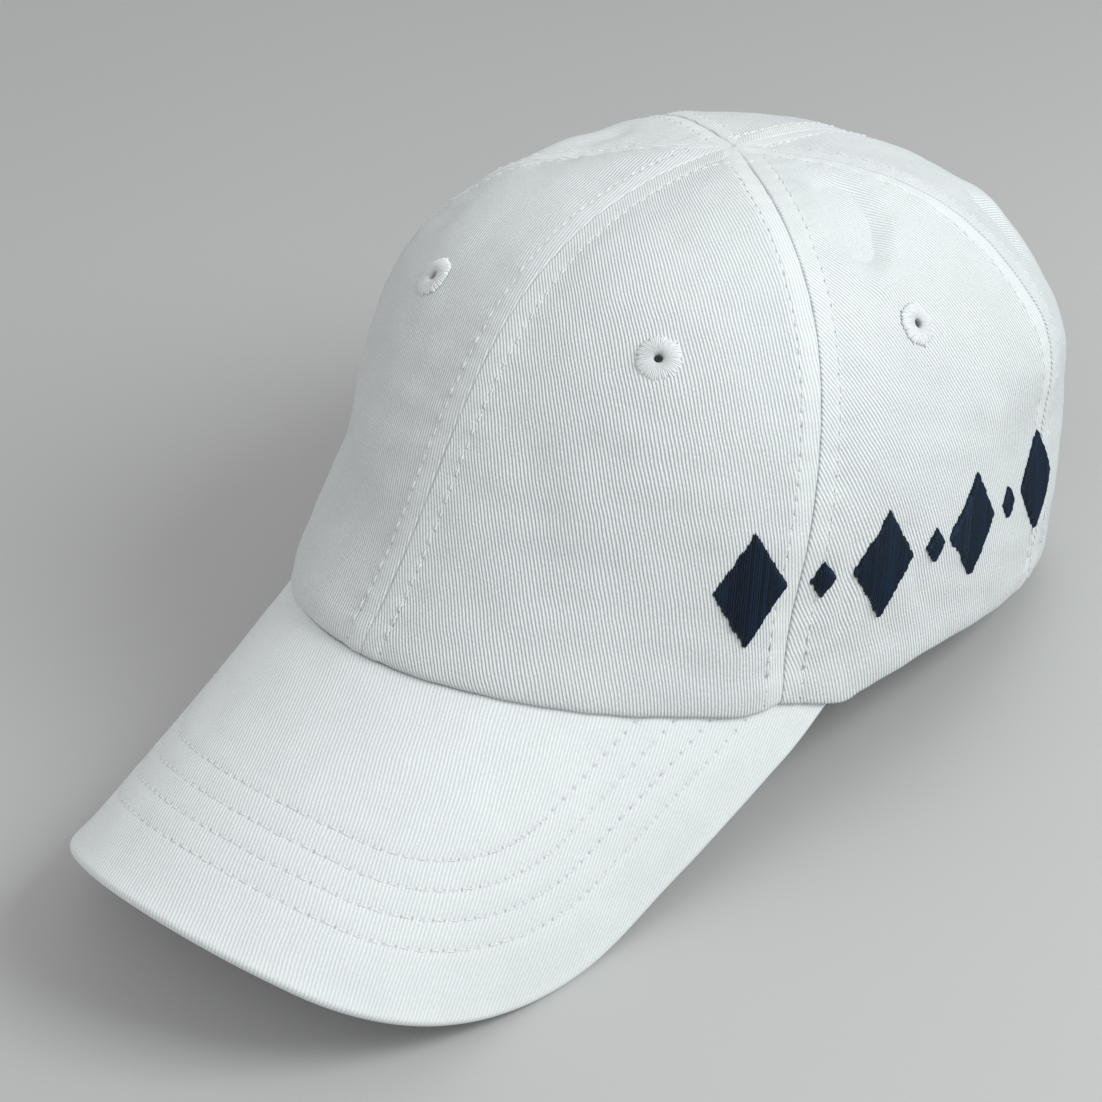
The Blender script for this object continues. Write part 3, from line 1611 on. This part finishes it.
    def panel(
        self, name: str, first: int, last: int, side: Side, eyelet: "Eyelet"
    ) -> bpy.types.Object:
        """Build a panel: an outer and an inner face, closed along the seams, the hem and the hole
        under its eyelet.

        Args:
            name: "front", "side" or "back".
            first: its front seam.
            last: its rear seam.
            side: the side of the cap.
            eyelet: the eyelet over its hole.

        Returns:
            The object.
        """
        form = self.form
        angle, up = self.grid(first, last, side)
        height, marks, rows_place = self.relief(angle, up, side, first, last)
        outer = self.gathered(form.crown_point(angle, up, height), up)
        lining = self.lining(angle, up, side, first, last)
        inner = self.gathered(form.crown_point(angle, up, lining), up)
        plain = form.crown_point(angle, up)
        centre = form.crown_point(np.array([eyelet.angle]), np.array([eyelet.up]))[0]
        away = np.linalg.norm(plain - centre, axis=-1)
        cell = (away[:-1, :-1] + away[1:, :-1] + away[1:, 1:] + away[:-1, 1:]) / 4
        points = self.ground.lay(np.concatenate([outer.reshape(-1, 3), inner.reshape(-1, 3)]))
        return put_mesh(
            f"cloth_{name}_{side.name.lower()}",
            points,
            shell_faces(cell > self.eyelet_cut),
            np.tile(self.cloth_place(plain, name == "front"), (2, 1)),
            {mark: np.tile(values.reshape(-1), 2) for mark, values in marks.items()},
            np.tile(rows_place.reshape(-1, 2), (2, 1)),
        )

    def gathered(self, points: Array, up: Array) -> Array:
        """Draw the top rows of a face in, so that all the panels meet at the middle of the top.

        Args:
            points: the face, as columns by rows.
            up: each point's share of the way up.

        Returns:
            The moved points.
        """
        top = self.form.crown_point(np.zeros(1), np.ones(1))[0]
        middle = np.array([0.0, top[1], float(points[:, -1, 2].mean())])
        pull = smooth(self.gather_from, self.panel_top, up)[..., None] * self.gather_share
        return points + (middle - points[:, -1:, :]) * pull

    def lining(self, angle: Array, up: Array, side: Side, first: int, last: int) -> Array:
        """The height of the cloth's inner face, which carries a flat tape over each seam.

        Args:
            angle: radians from the front.
            up: share of the way up.
            side: the side of the cap.
            first: the panel's front seam.
            last: the panel's rear seam.

        Returns:
            The height over the plain crown, below 0.
        """
        base = self.form.crown_point(angle, up)
        height = np.full_like(angle, -self.form.crown_wall)
        for seam in (first, last):
            away = np.linalg.norm(base - self.seam_line(seam, side, up), axis=-1)
            tape = 1 - smooth(self.tape_half_width, self.tape_half_width + 0.8, away)
            height -= self.tape_thickness * tape
        return height

    def topstitch(self, row: SeamRow, seed: int) -> tuple[Array, Array, Array]:
        """A row of stitches beside a seam, a set distance off it over the cloth. The rows of the
        front and back seams run nearly to the top, and the others end where the panels narrow.

        Args:
            row: the seam and the panel that the row lies on.
            seed: picks the slight unevenness.

        Returns:
            The row's mesh.
        """
        form = self.form
        to_the_top = row.seam in (0, len(form.seams) - 1)
        highest, widest = (0.998, math.radians(86)) if to_the_top else (0.93, math.radians(24))
        up = np.linspace(self.row_foot, highest, 900)
        seam = form.seam_angle(row.seam, up, row.side)
        step = 0.01
        around = form.crown_point(seam + step, up) - form.crown_point(seam - step, up)
        metric = np.linalg.norm(around, axis=-1) / (2 * step)
        offset = np.arcsin(np.clip(SEAM_ROWS.first / metric, 0, 1))
        keep = offset < widest
        up, seam, offset = up[keep], seam[keep], offset[keep]
        angle = seam + row.side.value * (offset if row.behind else -offset)
        first = row.seam if row.behind else row.seam - 1
        height, _, _ = self.relief(angle[None, :], up[None, :], row.side, first, first + 1)
        path = form.crown_point(angle, up, height[0])
        normals = form.crown_normal(angle, up)
        points, faces, thread = StitchRow().build(path, normals, seed)
        return self.ground.lay(points), faces, thread

    def stitching(self) -> None:
        """Lay and dress the two rows of topstitching beside each seam."""
        last = len(self.form.seams) - 1
        rows = {
            "front": (SeamRow(0, Side.LEFT, True), SeamRow(0, Side.RIGHT, True)),
            "back": (SeamRow(last, Side.RIGHT, False), SeamRow(last, Side.LEFT, False)),
        }
        for seam in range(1, last):
            for side in Side:
                left = side is Side.LEFT
                name = f"{self.form.seams[seam].name}_{side.name.lower()}"
                rows[name] = (SeamRow(seam, side, left), SeamRow(seam, side, not left))
        seed = 20
        for name, pair in rows.items():
            parts = []
            for row in pair:
                seed += 1
                parts.append(self.topstitch(row, seed))
            piece = put_mesh(f"topstitch_{name}", *joined(parts))
            self.wardrobe.dress(piece, "seam_thread", "eyelet_thread")

    def build(self, eyelets: dict[tuple[str, Side], "Eyelet"]) -> None:
        """Build and dress the panels and their topstitching.

        Args:
            eyelets: the eyelet of each panel, by the panel's name and side.
        """
        for side in Side:
            for name, first, last in self.panels:
                piece = self.panel(name, first, last, side, eyelets[name, side])
                node = f"panel_{name}_{side.name.lower()}"
                self.wardrobe.dress(piece, f"{name}_cloth", "crown_cloth", node)
        self.stitching()


@dataclass
class Peak:
    """The stiff peak, its rolled edge and its four rows of stitching.

    Its sections run from the hem to the edge, and are closest at the two ends of the seat.
    """

    form: CapForm
    ground: Ground
    wardrobe: Wardrobe
    end_tuck: float = 2.6
    section_spacing: tuple[tuple[float, float], ...] = ((0, 0.01), (1.0, 0.0078))
    steps_out: int = 105
    steps_round: int = 12
    show_through: float = 0.3
    under_place: float = 200.0
    channel_depth: float = 0.10
    channel_width: float = 1.3
    hole_depth: float = 0.16
    hole_width: float = 0.8
    roll_height: float = 0.12
    broad_ripple: float = 0.16
    fine_ripple: float = 0.06
    thread: StitchRow = StitchRow(length=2.9, gap=0.5, radius=0.17, stand=0.12)

    def relief(self, across: Array, along: Array) -> tuple[Array, dict[str, Array], Array]:
        """The height of the upper face: a channel along each stitch row that is deeper at each
        needle hole, and a soft roll along the edge.

        Args:
            across: place across the flat sheet.
            along: place along it.

        Returns:
            The height in millimetres, the crease and pressed marks, and the row coordinates along
            and inside the edge.
        """
        inset, walked = self.form.peak_inset(across, along)
        walked = walked * np.sign(across)
        stitch = 0.5 + 0.5 * np.cos(2 * math.pi * walked / PEAK_ROWS.pitch)
        base = self.form.peak_point(across, along)
        height = self.roll_height * bell(inset - 1.8, 1.4)
        height += self.broad_ripple * ripple(base, 40.0, 31)
        height += self.fine_ripple * ripple(base, 12.0, 33)
        for row in PEAK_ROWS.places():
            height -= self.channel_depth * bell(inset - row, self.channel_width)
            height -= self.hole_depth * stitch**3 * bell(inset - row, self.hole_width)
        marks = {"crease": np.zeros_like(inset), "pressed": 0.6 * bell(inset, 2.0)}
        return height, marks, np.stack([walked, inset], -1)

    def sections(self) -> tuple[Array, Array, Array]:
        """Lay out the flat sheet in sections from the hem to the edge, drawn in at its two ends.

        Returns:
            The places on the sheet, the places round the edge, both as sections by steps, and how
            far each step round the edge has turned.
        """
        form = self.form
        share = spread(2.0, self.section_spacing) * 2 - 1
        angle = share * form.peak_seat_angle
        hem = form.crown_point(angle, np.zeros_like(angle), -form.crown_wall)
        start = np.stack(form.peak_flat(hem[:, 0], hem[:, 1]), -1)[:, None]
        tuck = self.end_tuck * smooth(0.88, 1.0, np.abs(share))
        edge = form.peak_rim(share, form.peak_thickness / 2 + tuck)[:, None]
        rim = form.peak_rim(share, tuck)[:, None]
        flat = start + (edge - start) * np.linspace(0, 1, self.steps_out)[None, :, None]
        turns = np.linspace(0, math.pi, self.steps_round)[1:-1]
        return flat, edge + (rim - edge) * np.sin(turns)[None, :, None], turns

    def looped(self, upper: Array, edge: Array, under: Array) -> Array:
        """Join the three parts of each section into a loop: out over the upper face, round the
        edge and back below. The sections then run towards the wearer's right."""
        return np.concatenate([upper, edge, under[:, ::-1]], axis=1)[::-1]

    def build(self) -> None:
        """Build and dress the peak and its stitching. Round the edge the face drops by
        half the thickness times (1 - cos turn), and its relief fades as cos^2(turn/2)."""
        form = self.form
        flat, rolled, turns = self.sections()
        height, marks, rows = self.relief(flat[..., 0], flat[..., 1])
        _, _, rolled_rows = self.relief(rolled[..., 0], rolled[..., 1])
        below = -form.peak_thickness - height * self.show_through
        drop = form.peak_thickness / 2 * (1 - np.cos(turns))
        raised = height[:, -1:] * np.cos(turns / 2) ** 2 - drop
        points = self.looped(
            form.peak_point(flat[..., 0], flat[..., 1], height),
            form.peak_point(rolled[..., 0], rolled[..., 1], raised),
            form.peak_point(flat[..., 0], flat[..., 1], below),
        )
        blank = np.zeros_like(raised)
        piece = put_mesh(
            "cloth_peak",
            self.ground.lay(points.reshape(-1, 3)),
            loop_faces(*points.shape[:2]),
            self.looped(flat, rolled, flat + [0, self.under_place]).reshape(-1, 2),
            {mark: self.looped(on, blank, on).reshape(-1) for mark, on in marks.items()},
            self.looped(rows, rolled_rows, rows).reshape(-1, 2),
        )
        self.wardrobe.dress(piece, "peak_cloth", "peak_cloth", "peak")
        self.stitching()

    def stitching(self) -> None:
        """Lay the four rows of stitches parallel to the edge, from hem to hem."""
        form = self.form
        hem = np.linspace(-form.peak_seat_angle, form.peak_seat_angle, 400)
        hem_across, hem_along = form.peak_flat(*form.hem_plan(hem))
        share = np.linspace(-0.995, 0.995, 1400)
        parts = []
        for seed, inset in enumerate(PEAK_ROWS.places(), start=60):
            across, along = form.peak_rim(share, inset).T
            clear = along > np.interp(across, hem_across, hem_along) + 1.0
            across, along = across[clear], along[clear]
            height, _, _ = self.relief(across, along)
            path = form.peak_point(across, along, height)
            normals = form.peak_normal(across, along)
            points, faces, thread = self.thread.build(path, normals, seed)
            parts.append((self.ground.lay(points), faces, thread))
        piece = put_mesh("peak_stitching", *joined(parts))
        self.wardrobe.dress(piece, "seam_thread", "peak_cloth")


@dataclass
class Eyelet:
    """An embroidered ventilation eyelet: a ring of satin stitches over a hole.

    Its profile goes from the rim of the hole over the ring, under it and through the cloth, as
    shares of the ring's width and heights, which are scaled where they stand above the cloth.
    """

    name: str
    side: Side
    at: float
    up: float
    radius: float = 5.0
    hole: float = 1.05
    high: float = 1.0
    threads: int = 54
    points_per_thread: int = 7
    ridge_height: float = 0.24
    ragged: float = 0.2
    lean: float = 0.02
    profile: tuple[tuple[float, float], ...] = (
        (0.00, -0.6), (0.00, 0.0), (0.04, 0.25), (0.12, 0.46), (0.25, 0.62), (0.42, 0.68),
        (0.60, 0.63), (0.76, 0.50), (0.88, 0.33), (0.96, 0.14), (1.0, -0.08), (1.0, -0.3),
        (0.6, -0.5), (0.3, -0.6), (0.3, -1.3), (0.75, -1.55), (0.75, -1.8), (0.4, -2.3),
        (0.1, -2.1), (0.0, -1.6),
    )

    @property
    def angle(self) -> float:
        """Its angle from the front, in radians."""
        return self.side.value * math.radians(self.at)

    def build(self, form: CapForm, ground: Ground, wardrobe: Wardrobe) -> None:
        """Build the ring from a closed profile carried round the hole. Each stitch is a ridge
        |sin|, and the outer ends are ragged.

        Args:
            form: the cap's form.
            ground: the pose in which it lies.
            wardrobe: the finishes.
        """
        turns = np.linspace(0, 2 * math.pi, self.threads * self.points_per_thread, endpoint=False)
        turns = turns[::-1, None]
        phase = turns * self.threads / 2
        ridge = np.abs(np.sin(phase)) ** 0.6
        number = np.floor(phase / math.pi).astype(int) % self.threads
        draw = np.random.RandomState(int(self.at) + 200 * (self.side is Side.LEFT))
        ragged = draw.normal(0, self.ragged, self.threads)[number] - 0.45 * (1 - ridge)
        lean = draw.normal(0, self.lean, self.threads)[number]
        out, high = np.array(self.profile).T[:, None, :]
        top = np.clip(high, 0, 1)
        radius = self.hole + (self.radius - self.hole) * out + ragged * out**2
        raised = np.where(high > 0, high * self.high, high)
        raised = raised + self.ridge_height * (ridge - 0.6) * np.sqrt(top) + 0.04
        x = radius * np.cos(turns + lean * out)
        y = radius * np.sin(turns + lean * out)
        across, skew, upward = form.crown_scale(self.angle, self.up)
        angle = self.angle + (x - y * skew / upward) / across
        points = form.crown_point(angle, self.up + y / upward, raised)
        thread = np.stack(np.broadcast_arrays(turns * 3.0, radius * 0.15), -1)
        crease = (1 - ridge) * np.sqrt(top)
        suffix = f"{self.name}_{self.side.name.lower()}"
        piece = put_mesh(
            f"embroidered_eyelet_{suffix}",
            ground.lay(points.reshape(-1, 3)),
            loop_faces(*points.shape[:2], ring=True),
            thread.reshape(-1, 2),
            {"crease": crease.reshape(-1)},
        )
        wardrobe.dress(piece, "eyelet_thread", "eyelet_thread", f"eyelet_{suffix}")


@dataclass
class Motif:
    """The raised row of satin-stitched lozenges and beads on the wearer's left."""

    form: CapForm
    ground: Ground
    wardrobe: Wardrobe
    height: float = 27.0
    width: float = 19.0
    bead_width: float = 7.0
    bead_height: float = 9.0
    pitch: float = 17.5
    raised: float = 1.1
    sunk: float = 0.5
    above_rim: float = 32.5
    start: float = math.radians(57)
    count: int = 7
    thread: float = 0.62
    points_per_thread: int = 6
    rows: int = 31
    reach: float = 0.955
    least_height: float = 0.7
    ragged: float = 0.26
    tone: float = 0.22
    edge_round: float = 1.3

    def up_at(self, angle: Array, height: Array) -> Array:
        """The share of the way up at which the round crown reaches a height.

        Args:
            angle: radians from the front.
            height: the height above the rim's plane.

        Returns:
            The share at each place.
        """
        form = self.form
        plan_x, plan_y = form.hem_plan(angle)
        start = form.hem_height(plan_x, plan_y, angle)
        rise = np.clip((height - start) / (form.crown_height - start), 0.03, 1)
        return np.arcsin(rise ** (form.blend("fullness", angle) / 2)) / (math.pi / 2)

    def lozenge(self, name: str, angle: float, width: float, height: float, seed: int) -> None:
        """Build one lozenge: upright threads side by side, domed over its edges as sqrt(edge), and
        each ridge |sin|.

        Args:
            name: the solid that it stands for.
            angle: its place round the crown.
            width: its width.
            height: its height.
            seed: picks the threads' ragged ends and their tone.
        """
        form = self.form
        level = self.up_at(np.array([angle]), np.array([self.above_rim]))
        across, _, _ = form.crown_scale(angle, float(level[0]))
        threads = int(round(width / self.thread))
        columns = threads * self.points_per_thread
        phase = np.linspace(0, threads, columns + 1)[:, None]
        number = np.clip(np.floor(phase).astype(int), 0, threads - 1)
        draw = np.random.RandomState(seed)
        ragged = draw.normal(0, self.ragged, threads)[number]
        tone = draw.normal(0, self.tone, threads)[number]
        ridge = np.abs(np.sin(math.pi * phase)) ** 0.7
        out = np.linspace(-self.reach, self.reach, columns + 1)[:, None]
        half = height / 2 * (1 - np.abs(out)) + ragged - 0.55 * (1 - ridge)
        half = np.maximum(half, self.least_height / 2)
        rows = np.linspace(-1, 1, self.rows)
        x, y = np.broadcast_arrays(width / 2 * out, half * rows)
        edge = (1 - np.abs(rows)) * half
        dome = np.sqrt(np.clip(edge / self.edge_round, 0, 1)) * (1 - 0.35 * out**2)
        high = self.raised * dome * (0.66 + 0.34 * ridge) + 0.05
        turned = angle + x / across
        up = self.up_at(turned, self.above_rim + y)
        top = form.crown_point(turned, up, high)
        bottom = form.crown_point(turned, up, -self.sunk)
        crease = np.clip(0.3 + 0.7 * (1 - ridge) + tone, 0, 1)
        piece = put_mesh(
            f"satin_{name}",
            self.ground.lay(np.concatenate([top.reshape(-1, 3), bottom.reshape(-1, 3)])),
            shell_faces(np.ones((columns, self.rows - 1), bool)),
            np.tile(np.stack([x, y], -1).reshape(-1, 2), (2, 1)),
            {"crease": np.tile(np.broadcast_to(crease, x.shape).reshape(-1), 2)},
        )
        self.wardrobe.dress(piece, "navy_thread", "motif_thread", name)

    def build(self) -> None:
        """Build the row, an even step apart along the cloth."""
        angle, step = self.start, 0.01
        for item in range(1, self.count + 1):
            if item % 2:
                name, width, height = "lozenge", self.width, self.height
            else:
                name, width, height = "bead", self.bead_width, self.bead_height
            self.lozenge(f"motif_{name}_{item}", angle, width, height, seed=80 + item)
            level = self.up_at(np.array([angle]), np.array([self.above_rim]))
            pair = self.form.crown_point(np.array([angle, angle + step]), level)
            angle += self.pitch * step / float(np.linalg.norm(pair[1] - pair[0]))


# Floor, light and camera


@dataclass(frozen=True)
class Lamp:
    """A square soft light, aimed at the cap: the direction to it, its distance and side in
    metres, its power in watts and its colour."""

    name: str
    towards: tuple[float, float, float]
    far: float
    size: float
    power: float
    colour: Colour
    aim: tuple[float, float, float] = (0, 0, 0.06)

    def hang(self) -> None:
        """Make the light and hang it in its place."""
        data = bpy.data.lights.new(self.name, "AREA")
        data.shape = "SQUARE"
        data.size = self.size
        data.energy = self.power
        data.color = self.colour
        lamp = bpy.data.objects.new(self.name, data)
        way = Vector(self.towards).normalized()
        lamp.location = Vector(self.aim) + way * self.far
        lamp.rotation_euler = way.to_track_quat("Z", "Y").to_euler()
        bpy.context.scene.collection.objects.link(lamp)


@dataclass(frozen=True)
class Studio:
    """The pale floor, the soft lights and the camera. Angles are in degrees and lengths in
    millimetres."""

    ground: Ground
    azimuth: float = 39.237
    elevation: float = 25.880
    roll: float = 4.050
    distance: float = 573.60
    target_height: float = 37.20
    right_of_middle: float = 38.92
    above_middle: float = 35.22
    focal_pixels: float = 2275.284
    picture_pixels: float = 1102.0
    sensor: float = 36.0
    floor_reach: float = 6000.0
    floor_tones: tuple[Colour, Colour] = ((0.50, 0.495, 0.49), (0.53, 0.525, 0.52))
    room_colour: Colour = (0.98, 1.0, 1.0)
    room_strength: float = 0.53
    lamps: tuple[Lamp, ...] = (
        Lamp("key", (0.90, 0.30, 0.80), 0.9, 0.45, 5.6, (0.94, 1.0, 1.0)),
        Lamp("fill", (-0.25, -0.9, 0.9), 2.0, 1.4, 4.3, (0.97, 0.99, 1.0)),
        Lamp("low_fill", (-1.0, -0.2, 0.3), 2.0, 1.4, 2.0, (1.0, 0.99, 0.96)),
    )

    def axes(self) -> tuple[Array, Array, Array]:
        """The camera's right, up and backward directions in the cap's own upright frame."""
        turned, raised, roll = np.radians([self.azimuth, self.elevation, self.roll])
        level = np.array([math.cos(turned), math.sin(turned), 0.0])
        outward = np.array([math.sin(turned), -math.cos(turned), 0.0])
        back = outward * math.cos(raised) + np.array([0, 0, math.sin(raised)])
        upright = np.cross(back, level)
        right = level * math.cos(roll) + upright * math.sin(roll)
        up = upright * math.cos(roll) - level * math.sin(roll)
        return right, up, back

    def camera(self) -> None:
        """Create the camera, carried along with the lean of the cap."""
        ground = self.ground
        right, up, back = self.axes()
        place = (
            np.array([0, 0, self.target_height])
            + self.distance * back
            - self.right_of_middle * right
            - self.above_middle * up
        )
        laid = ground.turn(place) + np.array([0, 0, ground.lift]) + ground.shift
        pose = np.eye(4)
        pose[:3, :3] = np.stack([ground.turn(axis) for axis in (right, up, back)], -1)
        pose[:3, 3] = laid * MM
        data = bpy.data.cameras.new("camera")
        data.sensor_width = self.sensor
        data.lens = self.focal_pixels / self.picture_pixels * self.sensor
        data.clip_start = 0.01
        data.clip_end = 30.0
        camera = bpy.data.objects.new("camera", data)
        camera.matrix_world = Matrix(pose.tolist())
        bpy.context.scene.collection.objects.link(camera)
        bpy.context.scene.camera = camera

    def floor(self) -> None:
        """Lay a wide pale floor with a faint unevenness of tone."""
        corners = self.floor_reach * np.array([[-1, -1, 0], [1, -1, 0], [1, 1, 0], [-1, 1, 0]])
        floor = put_mesh("floor", corners, np.array([[0, 1, 2, 3]]))
        material = bpy.data.materials.new("pale_floor")
        material.use_nodes = True
        nodes = Nodes(material.node_tree)
        tone = nodes.noise(nodes.add("ShaderNodeTexCoord").outputs["Object"], 3.0, 3.0)
        colour = nodes.mix(tone, *(opaque(colour) for colour in self.floor_tones))
        shader = material.node_tree.nodes["Principled BSDF"]
        nodes.feed(shader, {"Base Color": colour, "Roughness": 0.8})
        floor.data.materials.append(material)

    def build(self) -> None:
        """Set up the camera, the floor, the lights and the world."""
        self.camera()
        self.floor()
        for lamp in self.lamps:
            lamp.hang()
        world = bpy.data.worlds.new("room")
        world.use_nodes = True
        back = world.node_tree.nodes["Background"]
        back.inputs["Color"].default_value = opaque(self.room_colour)
        back.inputs["Strength"].default_value = self.room_strength
        scene = bpy.context.scene
        scene.world = world
        scene.view_settings.view_transform = "Standard"


# The eyelets' places by panel and side: degrees from the front and the share of the way up.
EYELETS = {
    ("front", Side.LEFT): (39, 0.47),
    ("front", Side.RIGHT): (34, 0.485),
    ("side", Side.LEFT): (84, 0.46),
    ("side", Side.RIGHT): (86, 0.46),
    ("back", Side.LEFT): (146, 0.46),
    ("back", Side.RIGHT): (146, 0.46),
}


def main() -> None:
    """Build the cap over its solids, then the floor, the lights and the camera."""
    logging.basicConfig(level=logging.INFO, format="%(name)s %(message)s")
    form = CapForm()
    ground = Ground(form)
    ground.settle()
    LOG.info("lean %.3f deg, shift %s", math.degrees(ground.lean), ground.shift)
    wardrobe = Wardrobe()
    wardrobe.build()
    Studio(ground).build()
    eyelets = {key: Eyelet(*key, *place) for key, place in EYELETS.items()}
    Crown(form, ground, wardrobe).build(eyelets)
    for eyelet in eyelets.values():
        eyelet.build(form, ground, wardrobe)
    Peak(form, ground, wardrobe).build()
    Motif(form, ground, wardrobe).build()


if __name__ == "__main__":
    main()
